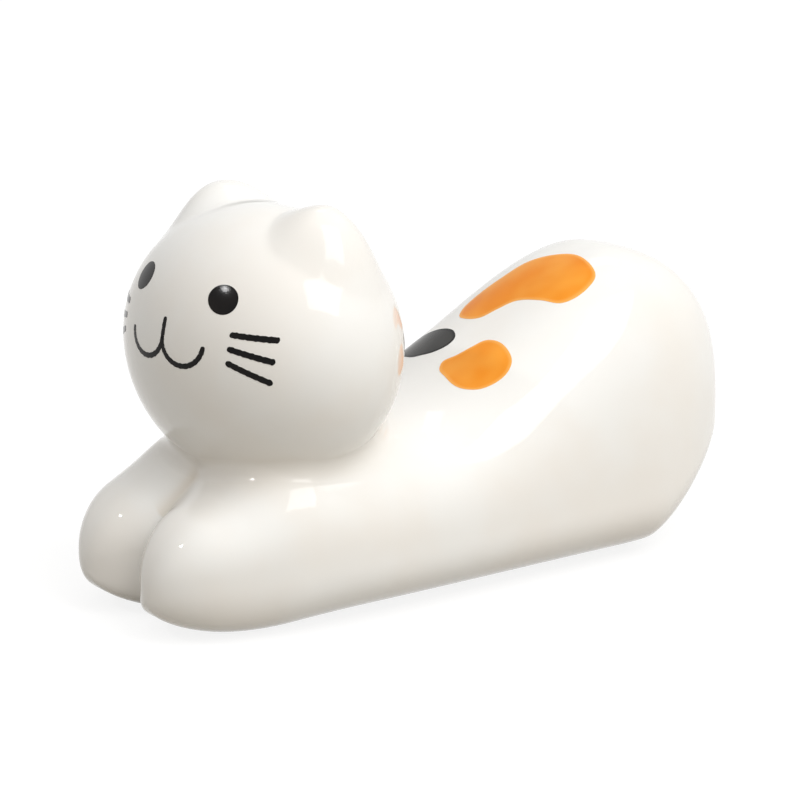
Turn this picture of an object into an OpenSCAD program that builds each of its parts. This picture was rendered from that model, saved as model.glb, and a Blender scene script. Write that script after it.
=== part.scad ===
// Chopstick rest: a lying cat in glazed ceramic. The chopsticks lie across the dip behind its head.
// X runs along the body with the head towards -X, the cat's left side faces -Y and the foot is at
// z = 0. Millimetres and degrees.

/* [Body] */
// Length from the tips of the paws to the rump
body_len = 69.2; // [60:0.2:80]
// Width over the shoulders
shoulder_w = 28.7; // [25:0.1:32]
// Width over the rump
rump_w = 27.3; // [24:0.1:32]
// Height of the shoulders, under the head
neck_h = 17; // [15:0.1:19]
// Height of the dip that carries the chopsticks
saddle_h = 16.6; // [14:0.1:19]
// Height of the rump
rump_h = 29.7; // [24:0.1:34]
// Height at which the flanks are widest
belly_z = 7; // [6:0.1:9]
// From the tips of the paws to the shoulders' highest place
neck_reach = 15; // [13:0.1:17]
// From the tips of the paws to the lowest place of the dip
saddle_reach = 31.6; // [29:0.1:34]
// From the rear end to the rump's highest place
rump_back = 12.4; // [10:0.1:15]

/* [Rear end] */
// Height of the rearmost point
rear_z = 17.1; // [14:0.1:20]
// Length over which the back rounds down to it
rear_top_r = 13; // [9:0.1:14]
// Length over which the flanks round in to it
rear_side_r = 17.3; // [11:0.1:19]
// Length over which the rear leans in from it to the foot
rear_sole_r = 13.2; // [9:0.1:16]

/* [Forelegs] */
// Height of a paw
paw_h = 12.4; // [10:0.1:14]
// Width of one foreleg
leg_w = 14.6; // [13:0.1:16]
// Distance between the middles of the two paws
paw_apart = 11.4; // [9:0.1:13]
// From the tips of the paws to where the legs start to rise and to close up
wrist_reach = 5.2; // [4:0.1:7]
// From the tips of the paws to where the groove between the legs has run out
merge_reach = 21.7; // [20:0.1:25]
// From the tips of the paws to the face on which each foreleg is luted to the torso
joint_reach = 18.4; // [16:0.1:20]
// Height of the paws' foremost points
toe_z = 4.5; // [3:0.1:6]
// Length over which the top of a paw rounds down
toe_top_r = 7.5; // [5:0.1:9]
// Length over which its sides round in
toe_side_r = 13; // [10:0.1:15]
// Length over which the sole of a paw rounds up
toe_sole_r = 14; // [10:0.1:16]

/* [Head] */
// Length of the head, front to back
head_l = 24.8; // [23:0.1:27]
// Width of the head
head_w = 30.5; // [28:0.1:32]
// Height of the head
head_h = 27.2; // [25:0.1:29]
// From the tips of the paws to the middle of the head
head_reach = 17.05; // [16:0.05:19]
// Height of the middle of the head
head_z = 25.55; // [24:0.05:28]
// How far the head turns to the cat's left
head_turn = 5.1; // [0:0.1:12]
// How far the head leans to the cat's left
head_lean = -0.8; // [-4:0.1:4]

/* [Ears] */
// How far an ear stands out of the head
ear_h = 3; // [2:0.1:5]
// Width of an ear where it meets the head, from the crown outwards
ear_w = 13.7; // [11:0.1:16]
// Thickness of an ear there, front to back
ear_l = 6.7; // [5:0.1:9]
// Turn of the ears from the front of the head
ear_turn = 99; // [85:1:110]
// Lift of the ears from the level of the head's middle
ear_lift = 50; // [44:1:58]
// How far the outer corner of an ear is turned to the front
ear_roll = 16.5; // [0:0.5:30]

/* [Face] */
// How far the printed face lies off the middle of the head, to the cat's left
face_off = 0.05; // [-1:0.05:1]
// From the middle of the face to the middle of an eye
eye_side = 6.5; // [5:0.1:8]
// Height of the eyes over the middle of the head
eye_up = 7.5; // [5:0.1:8.5]
// Length of an eye
eye_l = 3.7; // [2.5:0.1:4.5]
// Width of an eye
eye_w = 2.6; // [2:0.1:3.5]
// How far the length of an eye slopes down outwards
eye_slope = 34; // [0:1:90]
// Width of a printed line
line_w = 0.5; // [0.3:0.05:0.9]
// Height of the upper end of the nose line
nose_up = 4.75; // [4:0.05:5.5]
// Height of the place where the nose line and the two mouth curves meet
mouth_up = 2.75; // [2:0.05:3.4]
// Width of one mouth curve
mouth_w = 5.9; // [4:0.1:7]
// Depth of one mouth curve
mouth_drop = 2.5; // [1.5:0.05:3]
// From the middle of the face to the inner ends of the left whiskers
whisker_left_side = 8.8; // [8:0.1:10]
// From the middle of the face to the inner ends of the right whiskers
whisker_right_side = 9; // [8:0.1:10]
// Height of the inner end of the upper whisker
whisker_up = 4.15; // [3:0.05:5]
// Length of a whisker
whisker_l = 4.5; // [3:0.1:5]
// Distance from one whisker to the next
whisker_pitch = 1.35; // [1:0.05:1.6]
// How far the upper whisker slopes down
whisker_slope = 5; // [0:1:15]
// How much further each whisker slopes than the one over it
whisker_fan = 7.2; // [0:0.5:12]

/* [Patches] */
// From the paw tips to the middle of the orange rump patch
rump_patch_reach = 48; // [46:0.1:50]
// From the spine to its middle, towards the cat's left
rump_patch_across = -0.2; // [-2:0.1:2]
// Its length
rump_patch_l = 11.5; // [9:0.1:15]
// Its width at the broad end
rump_patch_w = 7.1; // [4:0.1:9]
// Its width at the narrow end
rump_patch_tip_w = 2.4; // [0.6:0.1:4]
// From the paw tips to the middle of the orange side patch
side_patch_reach = 38.5; // [37:0.1:41]
// From the spine to its middle, towards the cat's left
side_patch_across = 2.5; // [1.5:0.1:5]
// Its length
side_patch_l = 8.3; // [6:0.1:10]
// Its width at the lower end
side_patch_w = 6.9; // [4:0.1:7]
// Its width at the upper end
side_patch_tip_w = 3.7; // [2:0.1:5]
// From the paw tips to the middle of the black patch
black_patch_reach = 41.1; // [40:0.1:42.5]
// From the spine to its middle, towards the cat's left
black_patch_across = -7.8; // [-9:0.1:-7]
// Its length
black_patch_l = 9.2; // [6:0.1:10]
// Its width
black_patch_w = 3.4; // [2:0.1:4]

/* [Hidden] */

porcelain = [0.95, 0.94, 0.92];
ink = [0.09, 0.08, 0.08];
soft_black = [0.2, 0.2, 0.21];
orange = [0.95, 0.62, 0.24];

// Thickness of the slip that lutes one piece to the next
lute_gap = 0.1;
// Height of a fired transfer over the glaze, and its thickness
print_gap = 0.08;
print_t = 0.2;

// Exponents of the rounded shapes: 2 is an ellipse, more is squarer and less is more pointed
back_e = 2.77;
leg_e = 2.45;
sole_e = 2.8;
paw_sole_e = 2.85;
sole_fill_e = 4;
lifted_sole_e = 1.75;
toe_top_e = 2;
toe_side_e = 1.9;
toe_sole_e = 2.25;
rear_top_e = 2.1;
rear_side_e = 2.3;
rear_sole_e = 1.35;
ear_e = 1.55;
line_e = 8;
rump_patch_e = 5;
side_patch_e = 1.5;
black_patch_e = 2.2;
// The lower half of a section is drawn this much too deep, and the foot cuts it flat
foot_share = 1.03;
// Where a section is low, its widest place lies at this share of its height
low_belly_share = 0.58;

front_x = -body_len / 2;
rear_x = body_len / 2;
wrist_x = front_x + wrist_reach;
neck_x = front_x + neck_reach;
saddle_x = front_x + saddle_reach;
rump_x = rear_x - rump_back;
merge_x = front_x + merge_reach;
joint_x = front_x + joint_reach;
head_at = [front_x + head_reach, 0, head_z];
head_semi = [head_l, head_w, head_h] / 2;
face_r = (head_l + head_w + head_h) / 6;
back_r = rump_w / 2;

// Angle by which each mouth curve runs on into the nose line
mouth_tuck = 8;

// Bent middle lines of the patches, along the body and across it, in shares of a patch's length
rump_patch_shares = [[-0.34, -0.365], [0.1, -0.125], [0.34, 0.365]];
side_patch_shares = [[0, -0.5], [0.46, 0.055], [0, 0.5]];
black_patch_shares = [[0.05, 0.5], [-0.05, 0], [0, -0.5]];

// Steps of the surfaces
arch_n = 20;
toe_n = 15;
leg_n = 7;
back_n = 19;
rear_n = 11;
ear_n = 6;
ear_around = 20;
line_n = 12;
patch_n = 14;
patch_across = 6;

function ease(t) = let (c = min(max(t, 0), 1)) c * c * (3 - 2 * c);
function round_off(t, e) = let (c = min(max(t, 0), 1)) pow(1 - pow(c, e), 1 / e);
function mix(a, b, t) = a + (b - a) * t;

// Height of the back at x, before the ends round off
function ridge(x) =
    x < neck_x ? mix(paw_h, neck_h, ease((x - wrist_x) / (neck_x - wrist_x)))
    : x < saddle_x ? mix(neck_h, saddle_h, ease((x - neck_x) / (saddle_x - neck_x)))
    : mix(saddle_h, rump_h, ease((x - saddle_x) / (rump_x - saddle_x)));

// How far the groove between the forelegs has run out at x: 0 at the paws, 1 on the body
function merged(x) = ease((x - wrist_x) / (merge_x - wrist_x));

// How much the body keeps at x of its top, sole and side: 1 along the middle, 0 at the very ends
function kept(x) = x < 0
    ? [round_off((front_x + toe_top_r - x) / toe_top_r, toe_top_e),
       round_off((front_x + toe_sole_r - x) / toe_sole_r, toe_sole_e),
       round_off((front_x + toe_side_r - x) / toe_side_r, toe_side_e)]
    : [round_off((x - rear_x + rear_top_r) / rear_top_r, rear_top_e),
       round_off((x - rear_x + rear_sole_r) / rear_sole_r, rear_sole_e),
       round_off((x - rear_x + rear_side_r) / rear_side_r, rear_side_e)];

function tip_z(x) = x < 0 ? toe_z : rear_z;
function top_z(x) = mix(tip_z(x), ridge(x), kept(x)[0]);
function sole_z(x) = mix(tip_z(x), 0, kept(x)[1]);
function wide_z(x) = mix(tip_z(x), min(belly_z, low_belly_share * ridge(x)), min(kept(x)[0], kept(x)[1]));
function arch_y(x) = mix(paw_apart / 2, 0, merged(x));
function trunk_w(x) = mix(shoulder_w, rump_w, ease((x - merge_x) / (rump_x - merge_x)));
function arch_half(x) = mix(leg_w, trunk_w(x), merged(x)) / 2 * kept(x)[2];
function arch_e(x) = mix(leg_e, back_e, merged(x));
// Exponent of the lower half of a section. Towards the groove a paw's sole is squarer
function under_e(x, inner) = mix(lifted_sole_e, mix(paw_sole_e, sole_e, merged(x)), kept(x)[1])
    + (inner ? sole_fill_e * (1 - merged(x)) : 0);

// Distance from the middle of the arch at x to its outline, in the direction phi up from level
function arch_r(x, phi) =
    let (up = phi >= 0, e = up ? arch_e(x) : under_e(x, cos(phi) < 0),
         h = up ? top_z(x) - wide_z(x) : foot_share * (wide_z(x) - sole_z(x)))
    pow(pow(abs(cos(phi)) / arch_half(x), e) + pow(abs(sin(phi)) / h, e), -1 / e);

// Direction from the arch's middle to its outline over the groove, or under it for side = -1
function groove_phi(x, side) =
    let (e = side > 0 ? arch_e(x) : under_e(x, true), share = min(arch_y(x) / arch_half(x), side > 0 ? 0.995 : 0.965),
         h = side > 0 ? top_z(x) - wide_z(x) : foot_share * (wide_z(x) - sole_z(x)))
    side * atan2(h * pow(1 - pow(share, e), 1 / e), -arch_half(x) * share);

// The head's underside over a place on the body, with the slip that joins them. Beside the head,
// where there is none, it is the height z itself
function unlean(q) = [q[0], q[1] * cos(head_lean) - q[2] * sin(head_lean),
                      q[1] * sin(head_lean) + q[2] * cos(head_lean)];
function unturn(q) = [q[0] * cos(head_turn) + q[1] * sin(head_turn),
                      q[1] * cos(head_turn) - q[0] * sin(head_turn), q[2]];
function seat_units(q) = let (p = unturn(unlean(q)), s = head_semi)
    [p[0] / (s[0] + lute_gap), p[1] / (s[1] + lute_gap), p[2] / (s[2] + lute_gap)];
function seat_z(x, y, z) =
    let (q = seat_units([x - head_at[0], y - head_at[1], 0]), k = seat_units([0, 0, 1]),
         d = pow(q * k, 2) - (k * k) * (q * q - 1))
    d < 0 ? z : min(z, head_z - (q * k + sqrt(d)) / (k * k));

// One side of the section at x, from the sole at the middle out and up to the back, on y >= inner
function arch(x, inner) =
    let (low = groove_phi(x, -1), high = groove_phi(x, 1))
    [for (i = [0:arch_n])
        let (phi = mix(low, high, i / arch_n), r = arch_r(x, phi),
             y = max(arch_y(x) + r * cos(phi), inner),
             z = max(wide_z(x) + r * sin(phi), 0))
        [y, z]];

// A point of a section, lowered to the seat where it would reach into the head
function seated(x, side, p) = [x, side * p[0], seat_z(x, side * p[0], p[1])];

function leg_ring(x, side) = [for (p = arch(x, lute_gap / 2)) seated(x, side, p)];
function trunk_ring(x) = let (a = arch(x, 0))
    concat([for (p = a) seated(x, -1, p)], [for (i = [arch_n - 1:-1:1]) seated(x, 1, a[i])]);

function middle(ring) = let (n = len(ring)) [for (k = [0:2]) [for (p = ring) p[k]] * [for (p = ring) 1 / n]];

// A closed solid through rings of points, from the point first to the point last
module loft(rings, first, last, flip = false) {
    n = len(rings[0]);
    m = len(rings);
    sides = [for (i = [0:m - 2], j = [0:n - 1])
        let (a = i * n + j, b = i * n + (j + 1) % n)
        each [[a, a + n, b + n], [a, b + n, b]]];
    ends = [for (j = [0:n - 1]) let (k = (j + 1) % n, z = (m - 1) * n)
        each [[m * n, j, k], [m * n + 1, z + k, z + j]]];
    faces = concat(sides, ends);
    polyhedron(points = concat([for (ring = rings) each ring], [first, last]),
               faces = flip ? [for (f = faces) [f[0], f[2], f[1]]] : faces);
}

// Torso: the body from the face that carries the forelegs back to the rump
module torso() {
    back_end = rear_x - rear_side_r;
    places = concat(
        [for (i = [0:back_n - 1]) mix(joint_x, back_end, i / back_n)],
        [for (i = [0:rear_n - 1]) back_end + rear_side_r * sin(90 * i / rear_n)]);
    rings = [for (x = places) trunk_ring(x)];
    color(porcelain)
        loft(rings, middle(rings[0]), [rear_x, 0, rear_z]);
}

// One foreleg: the paw and the leg up to the torso, cut straight along the middle of the body
module foreleg(side) {
    toe_l = max(toe_top_r, toe_side_r, toe_sole_r);
    leg_start = front_x + toe_l;
    places = concat(
        [for (i = [1:toe_n]) leg_start - toe_l * cos(90 * i / (toe_n + 1))],
        [for (i = [0:leg_n]) mix(leg_start, joint_x - lute_gap, i / leg_n)]);
    rings = [for (x = places) leg_ring(x, side)];
    color(porcelain)
        loft(rings, [front_x, side * paw_apart / 2, toe_z], middle(rings[len(rings) - 1]), side > 0);
}

module in_head() {
    translate(head_at) rotate([-head_lean, 0, 0]) rotate([0, 0, head_turn]) children();
}

module head() {
    color(porcelain)
        in_head() scale(head_semi) sphere(1, $fn = 64);
}

function aim(turn, lift) = [-cos(turn) * cos(lift), -sin(turn) * cos(lift), sin(lift)];
function head_r(d) = 1 / norm([d[0] / head_semi[0], d[1] / head_semi[1], d[2] / head_semi[2]]);

// One ear: a soft upright mound, dished below to sit on the head
module ear(side) {
    axis = aim(side * ear_turn, ear_lift);
    u = [-axis[1], axis[0], 0] / norm([axis[0], axis[1]]);
    v = cross(axis, u);
    roll = -side * ear_roll;
    function along(p) = let (t = norm(p) / face_r * 180 / PI)
        axis * cos(t) + (u * p[0] + v * p[1]) / norm(p) * sin(t);
    function oval(a) = let (p = [ear_l / 2 * cos(a), ear_w / 2 * sin(a)])
        [p[0] * cos(roll) - p[1] * sin(roll), p[0] * sin(roll) + p[1] * cos(roll)];
    function rim(share, lift) = [for (j = [0:ear_around - 1])
        let (d = along(share * oval(360 * j / ear_around))) d * (head_r(d) + lute_gap + lift)];
    rings = concat(
        [for (k = [1:2]) rim(k / 3, 0)],
        [for (k = [0:ear_n - 1]) let (share = 1 - k / ear_n) rim(share, ear_h * (1 - pow(share, ear_e)))]);
    color(porcelain)
        in_head() loft(rings, axis * (head_r(axis) + lute_gap), axis * (head_r(axis) + lute_gap + ear_h));
}

// A place on the head: across is towards the cat's left, up from the level of the head's middle
function on_head(p, lift) =
    let (el = p[1] / face_r * 180 / PI, az = p[0] / face_r / cos(el) * 180 / PI, d = aim(az, el))
    d * (head_r(d) + lift);

// A place on the body: from the paw tips, and across the back towards the cat's left
function on_body(p, lift) =
    let (x = front_x + p[0], phi = 90 - p[1] / back_r * 180 / PI, r = arch_r(x, phi) + lift)
    [x, -r * cos(phi), wide_z(x) + r * sin(phi)];

// A thin transfer along a centre line, as a list of [place, half width] with its ends last
function normals(line) = let (n = len(line)) [for (i = [0:n - 1])
    let (d = line[min(i + 1, n - 1)][0] - line[max(i - 1, 0)][0]) [-d[1], d[0]] / norm(d)];
function stroke_ring(on, p, half, across) = concat(
    [for (k = [0:across]) on(p[0] + p[1] * half * (2 * k / across - 1), print_gap)],
    [for (k = [across:-1:0]) on(p[0] + p[1] * half * (2 * k / across - 1), print_gap + print_t)]);
module transfer(on, line, across) {
    n = len(line);
    side = normals(line);
    rings = [for (i = [1:n - 2]) stroke_ring(on, [line[i][0], side[i]], line[i][1], across)];
    mid_t = print_gap + print_t / 2;
    loft(rings, on(line[0][0], mid_t), on(line[n - 1][0], mid_t));
}

// Steps along a line, closer together at its ends, and the share of its width that it has there
function steps(n) = [for (i = [0:n]) (1 - cos(180 * i / n)) / 2];
function fullness(u, e) = sqrt(max(0, 1 - pow(abs(2 * u - 1), e)));
function bend(a, b, c, u) = mix(mix(a, b, u), mix(b, c, u), u);

module on_face(colour, lines, across = 2) {
    color(colour) in_head()
        for (line = lines) transfer(function (p, lift) on_head([face_off + p[0], p[1]], lift), line, across);
}

module eye(side) {
    on_face(ink, [[for (u = steps(line_n)) let (along = eye_l * (u - 0.5))
        [[side * (eye_side + along * cos(eye_slope)), eye_up - along * sin(eye_slope)],
         eye_w / 2 * fullness(u, 2)]]], 4);
}

// The nose line and the two mouth curves, printed as one figure
module mouth_line() {
    half = line_w / 2;
    on_face(ink, [
        [for (u = steps(line_n)) [[0, mix(nose_up, mouth_up - half, u)], half * fullness(u, line_e)]],
        for (side = [-1, 1]) [for (u = steps(2 * line_n)) let (a = mix(-mouth_tuck, 180, u))
            [[side * mouth_w / 2 * (1 - cos(a)), mouth_up - mouth_drop * sin(a)],
             half * fullness(u, 2 * line_e)]]]);
}

// Whisker number row on one cheek, counted from the upper one
module whisker(side, row) {
    slope = whisker_slope + row * whisker_fan;
    start = [side > 0 ? whisker_left_side : whisker_right_side, whisker_up - row * whisker_pitch];
    on_face(ink, [[for (u = steps(line_n)) let (p = start + u * whisker_l * [cos(slope), -sin(slope)])
        [[side * p[0], p[1]], line_w / 2 * fullness(u, line_e)]]]);
}

// A printed patch on the back: its middle line bends through three places given in shares of its
// length, and its width goes from tip_w at the first to w at the last
module patch(colour, place, l, w, tip_w, shares, e) {
    spots = [for (share = shares) place + share * l];
    color(colour)
        transfer(function (p, lift) on_body(p, lift),
                 [for (u = steps(patch_n))
                     [bend(spots[0], spots[1], spots[2], u), mix(tip_w, w, u) / 2 * fullness(u, e)]],
                 patch_across);
}

module orange_patch_rump() {
    patch(orange, [rump_patch_reach, rump_patch_across], rump_patch_l, rump_patch_w, rump_patch_tip_w,
          rump_patch_shares, rump_patch_e);
}

module orange_patch_side() {
    patch(orange, [side_patch_reach, side_patch_across], side_patch_l, side_patch_w, side_patch_tip_w,
          side_patch_shares, side_patch_e);
}

module black_patch() {
    patch(soft_black, [black_patch_reach, black_patch_across], black_patch_l, black_patch_w, black_patch_w,
          black_patch_shares, black_patch_e);
}

torso();
head();
ear(1);  // ear_left
ear(-1);  // ear_right
foreleg(-1);  // foreleg_left
foreleg(1);  // foreleg_right
eye(1);  // eye_left
eye(-1);  // eye_right
mouth_line();
whisker(1, 0);  // whisker_left_upper
whisker(1, 1);  // whisker_left_middle
whisker(1, 2);  // whisker_left_lower
whisker(-1, 0);  // whisker_right_upper
whisker(-1, 1);  // whisker_right_middle
whisker(-1, 2);  // whisker_right_lower
orange_patch_rump();
orange_patch_side();
black_patch();
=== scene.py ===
import bpy
import numpy as np
from math import radians
from mathutils import Matrix, Vector


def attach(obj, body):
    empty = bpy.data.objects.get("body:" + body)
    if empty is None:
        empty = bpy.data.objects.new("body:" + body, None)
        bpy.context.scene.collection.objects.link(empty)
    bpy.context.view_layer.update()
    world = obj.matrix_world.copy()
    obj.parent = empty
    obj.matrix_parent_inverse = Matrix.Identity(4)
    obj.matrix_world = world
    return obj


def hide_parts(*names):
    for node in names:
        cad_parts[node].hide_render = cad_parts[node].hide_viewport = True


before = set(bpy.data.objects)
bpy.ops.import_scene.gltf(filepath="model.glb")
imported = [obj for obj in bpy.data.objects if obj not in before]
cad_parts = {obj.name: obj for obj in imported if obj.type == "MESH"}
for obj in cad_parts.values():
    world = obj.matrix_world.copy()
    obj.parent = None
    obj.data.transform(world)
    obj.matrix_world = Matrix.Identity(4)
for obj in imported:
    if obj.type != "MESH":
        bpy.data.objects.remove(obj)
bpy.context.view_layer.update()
mm = 0.001  # shapes are worked out in millimetres and stored in metres
whiteGlaze, blackInk = "white_glaze", "black_ink"
orangeInk, softBlackInk = "orange_ink", "soft_black_ink"


def ease(t):  # 0 up to t = 0, 1 from t = 1, and 3t^2 - 2t^3 between
    c = np.clip(t, 0, 1)
    return c * c * (3 - 2 * c)


def roundOff(t, e):  # the curve t^e + r^e = 1: 1 up to t = 0, 0 from t = 1
    c = np.clip(t, 0, 1)
    return (1 - c ** e) ** (1 / e)


def mix(a, b, t):
    return a + (b - a) * t


def unit(v):
    return v / np.maximum(np.linalg.norm(v, axis=-1, keepdims=True), 1e-12)


def join(*parts):  # coordinates of any shapes as one array of points
    return np.stack(np.broadcast_arrays(*parts), -1).astype(float)


def slopeOf(f, p, step=0.004):  # gradient of f at the points p, by central differences
    shifts = np.eye(3) * step
    return np.stack([(f(p + s) - f(p - s)) / (2 * step) for s in shifts], -1)


# A mesh piece from points in mm and lists of faces, with its own normal at each face corner. Its
# faces are turned round if the volume that they close comes out negative
def makePiece(name, points, faces, cornerNormals, material, slotName, nodes=(), values=None):
    tris = np.concatenate([f[:, [0, k, k + 1]] for f in faces for k in range(1, f.shape[1] - 1)])
    a, b, c = points[tris[:, 0]], points[tris[:, 1]], points[tris[:, 2]]
    if np.sum(a * np.cross(b, c)) < 0:
        faces = [f[:, ::-1] for f in faces]
        cornerNormals = [n[:, ::-1] for n in cornerNormals]
    mesh = bpy.data.meshes.new(name)
    mesh.from_pydata((points * mm).tolist(), [], [row for f in faces for row in f.tolist()])
    mesh.polygons.foreach_set("use_smooth", np.ones(len(mesh.polygons), bool))
    for key, v in (values or {}).items():
        mesh.attributes.new(key, "FLOAT", "POINT").data.foreach_set("value", np.asarray(v, np.float32))
    mesh.normals_split_custom_set(np.concatenate([n.reshape(-1, 3) for n in cornerNormals]))
    mesh.materials.append(material)
    piece = bpy.data.objects.new(name, mesh)
    bpy.context.scene.collection.objects.link(piece)
    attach(piece, "root")
    if nodes:
        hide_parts(*nodes)


# Closed skin through m rings of n points: quads between neighbouring rings and a fan to a point at
# each end. A flat end's fan has its own normal, and a round one runs on smoothly
def skin(rings, normals, ends, endNormals, flat=(False, False)):
    m, n = rings.shape[:2]
    at = np.arange(m * n).reshape(m, n)
    on = np.roll(at, -1, 1)
    quads = np.stack([at[:-1], at[1:], on[1:], on[:-1]], -1).reshape(-1, 4)
    firstFan = np.stack([np.full(n, m * n), at[0], on[0]], -1)
    lastFan = np.stack([np.full(n, m * n + 1), on[-1], at[-1]], -1)
    points = np.concatenate([rings.reshape(-1, 3), ends])
    every = np.concatenate([normals.reshape(-1, 3), endNormals])
    corners = [every[f] for f in (quads, firstFan, lastFan)]
    for k in (0, 1):
        if flat[k]:
            corners[k + 1] = np.broadcast_to(endNormals[k], corners[k + 1].shape).copy()
    return points, [quads, firstFan, lastFan], corners


# Heights are over the table, and a reach is measured back from the tips of the paws
body = {
    "length": 69.2, "shoulderWidth": 28.7, "rumpWidth": 27.3,
    "neckHeight": 17.0, "saddleHeight": 17.3, "rumpHeight": 29.76,
    "bellyHeight": 7.0, "lowBelly": 0.58,  # height of the widest place, at most this share of the back's
    "neckReach": 15.0, "saddleReach": 29.8, "rumpBack": 11.3,
    "rearHeight": 17.1, "rearTop": 14.0, "rearSide": 17.3, "rearSole": 13.2,
    "pawHeight": 12.4, "legWidth": 14.6, "pawApart": 11.4, "wristReach": 5.2, "mergeReach": 21.7,
    "jointReach": 18.4, "toeHeight": 4.5, "toeTop": 7.5, "toeSide": 13.0, "toeSole": 14.0,
    # exponents of the rounded shapes: 2 is an ellipse, more is squarer and less is more pointed
    "backE": 2.6, "legE": 2.45, "soleE": 2.8, "pawSoleE": 2.85, "soleFillE": 4.0, "liftedSoleE": 1.75,
    "toeTopE": 2.0, "toeSideE": 1.9, "toeSoleE": 2.25, "rearTopE": 2.1, "rearSideE": 2.3,
    "rearSoleE": 1.35, "rearTipE": 2.0, "rearBend": 4,  # the first turns into the second by t^rearBend
    "footShare": 1.03,  # the lower arch goes this much too deep, and is cut flat by the table
    "grooveFill": 0.8,  # how softly the groove between the forelegs is filled with glaze
    "footRound": 0.25,  # rounding of the rim of the foot
    "halfRing": 120, "toeRings": 70, "legRings": 14, "trunkRings": 104,
}
head = {
    "length": 24.24, "width": 30.42, "crown": 13.09, "chin": 13.78, "reach": 16.94, "up": 25.73,
    "turn": 5.9, "lean": -0.1,
    "slip": 0.1,          # gap to the body that it sits on
    "faceRadius": 13.73,  # mm of a place on the head to a turn by one radian
    "around": 320, "rows": 168,
}
frontX, rearX = -body["length"] / 2, body["length"] / 2
least, offEnd = 1e-6, 1e-4  # what keeps a size over 0 and a place inside the body's two ends
headAt = np.array([frontX + head["reach"], 0, head["up"]])
chinSemi = np.array([head["length"] / 2, head["width"] / 2, head["chin"]])
faceR, backR = head["faceRadius"], body["rumpWidth"] / 2
headLean = Matrix.Rotation(radians(-head["lean"]), 3, "X")
headTurn = np.array(headLean @ Matrix.Rotation(radians(head["turn"]), 3, "Z"))


def merged(x):  # 0 where the forelegs are apart, 1 where the groove between them has run out
    return ease((x - frontX - body["wristReach"]) / (body["mergeReach"] - body["wristReach"]))


# The body's cross-section at x: two arches side by side at the paws that close up into one. Its top,
# sole and sides round off towards each end by t^e + r^e = 1. An arch's middle is "apart" from the
# body's and "wide" over the table, and the arch goes "half" to each side, "up" and "down" from there
def section(x):
    b = body
    wrist, neck, saddle = frontX + b["wristReach"], frontX + b["neckReach"], frontX + b["saddleReach"]
    rump = rearX - b["rumpBack"]
    ridge = mix(b["pawHeight"], b["neckHeight"], ease((x - wrist) / (neck - wrist)))
    ridge = mix(ridge, b["saddleHeight"], ease((x - neck) / (saddle - neck)))
    ridge = mix(ridge, b["rumpHeight"], ease((x - saddle) / (rump - saddle)))
    toe = x < 0
    top = np.where(toe, roundOff((frontX + b["toeTop"] - x) / b["toeTop"], b["toeTopE"]),
                   roundOff((x - rearX + b["rearTop"]) / b["rearTop"], b["rearTopE"]))
    under = np.clip((x - rearX + b["rearSole"]) / b["rearSole"], 0, 1)
    sole = np.where(toe, roundOff((frontX + b["toeSole"] - x) / b["toeSole"], b["toeSoleE"]),
                    roundOff(under, mix(b["rearSoleE"], b["rearTipE"], under ** b["rearBend"])))
    side = np.where(toe, roundOff((frontX + b["toeSide"] - x) / b["toeSide"], b["toeSideE"]),
                    roundOff((x - rearX + b["rearSide"]) / b["rearSide"], b["rearSideE"]))
    tip = np.where(toe, b["toeHeight"], b["rearHeight"])
    close = merged(x)
    trunk = mix(b["shoulderWidth"], b["rumpWidth"],
                ease((x - frontX - b["mergeReach"]) / (rump - frontX - b["mergeReach"])))
    wide = mix(tip, np.minimum(b["bellyHeight"], b["lowBelly"] * ridge), np.minimum(top, sole))
    return {
        "apart": mix(b["pawApart"] / 2, 0, close),
        "half": mix(b["legWidth"], trunk, close) / 2 * side + least,
        "wide": wide, "up": mix(tip, ridge, top) - wide + least,
        "down": b["footShare"] * (wide - mix(tip, 0, sole)) + least,
        "upE": mix(b["legE"], b["backE"], close),
        "downE": mix(b["liftedSoleE"], mix(b["pawSoleE"], b["soleE"], close), sole),
        "inE": b["soleFillE"] * (1 - close), "fill": b["grooveFill"] * (1 - close),
    }


# Radius of an arch at phi up from level: (|cos phi| / half)^e + (|sin phi| / height)^e = 1 / r^e. The
# exponent e is larger, so squarer, on the side of a sole that looks to the groove
def archR(s, phi):
    e = np.where(np.sin(phi) >= 0, s["upE"], s["downE"] + np.where(np.cos(phi) < 0, s["inE"], 0))
    height = np.where(np.sin(phi) >= 0, s["up"], s["down"])
    return ((np.abs(np.cos(phi)) / s["half"]) ** e + (np.abs(np.sin(phi)) / height) ** e) ** (-1 / e)


# How far a point is outside the body, within its cross-section: its distance from the arch's middle
# less the arch's radius that way, with |y| softened to sqrt(y^2 + fill^2) across the groove
def bodyDistance(p):
    s = section(np.clip(p[..., 0], frontX + offEnd, rearX - offEnd))
    out, up = np.sqrt(p[..., 1] ** 2 + s["fill"] ** 2) - s["apart"], p[..., 2] - s["wide"]
    return np.hypot(out, up) - archR(s, np.arctan2(up, out))


def bodyNormal(p):
    return unit(slopeOf(bodyDistance, p))


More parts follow.
